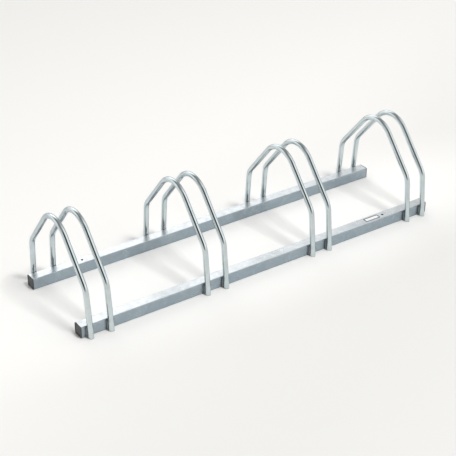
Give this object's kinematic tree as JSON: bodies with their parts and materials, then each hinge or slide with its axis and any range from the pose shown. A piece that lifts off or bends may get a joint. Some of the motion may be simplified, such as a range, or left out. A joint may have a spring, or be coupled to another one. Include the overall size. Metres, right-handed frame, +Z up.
{
  "type": "floor bike rack",
  "caption": "Low floor-standing bike rack: bent tube hoops in pairs on two square rails, each pair holding a wheel.",
  "frame": {"origin": "on the floor, at the middle of the rack", "axes": "+X along the rails towards the right end, +Y from the front rail to the rear rail, +Z up"},
  "size_m": [1.24, 0.3622, 0.2956],
  "materials": {
    "rail_zinc": "passivated zinc plating, satin, blue-grey, with faint draw lines",
    "hoop_zinc": "bright zinc plating, semi-gloss, with faint length-wise polishing lines",
    "weld_zinc": "plated weld bead, rippled, dull",
    "cap_plastic": "black moulded polyethylene, satin",
    "label_film": "blank white film label, thin dark border"
  },
  "bodies": {
    "root": {"front_rail": "rail_zinc", "rear_rail": "rail_zinc", "hoop_1_left": "hoop_zinc", "hoop_1_right": "hoop_zinc", "hoop_2_left": "hoop_zinc", "hoop_2_right": "hoop_zinc", "hoop_3_left": "hoop_zinc", "hoop_3_right": "hoop_zinc", "hoop_4_left": "hoop_zinc", "hoop_4_right": "hoop_zinc", "weld_beads_1_left": "weld_zinc", "weld_beads_1_right": "weld_zinc", "weld_beads_2_left": "weld_zinc", "weld_beads_2_right": "weld_zinc", "weld_beads_3_left": "weld_zinc", "weld_beads_3_right": "weld_zinc", "weld_beads_4_left": "weld_zinc", "weld_beads_4_right": "weld_zinc", "cap_front_left": "cap_plastic", "cap_front_right": "cap_plastic", "cap_rear_left": "cap_plastic", "cap_rear_right": "cap_plastic", "blank_label": "label_film"}
  },
  "joints": []
}
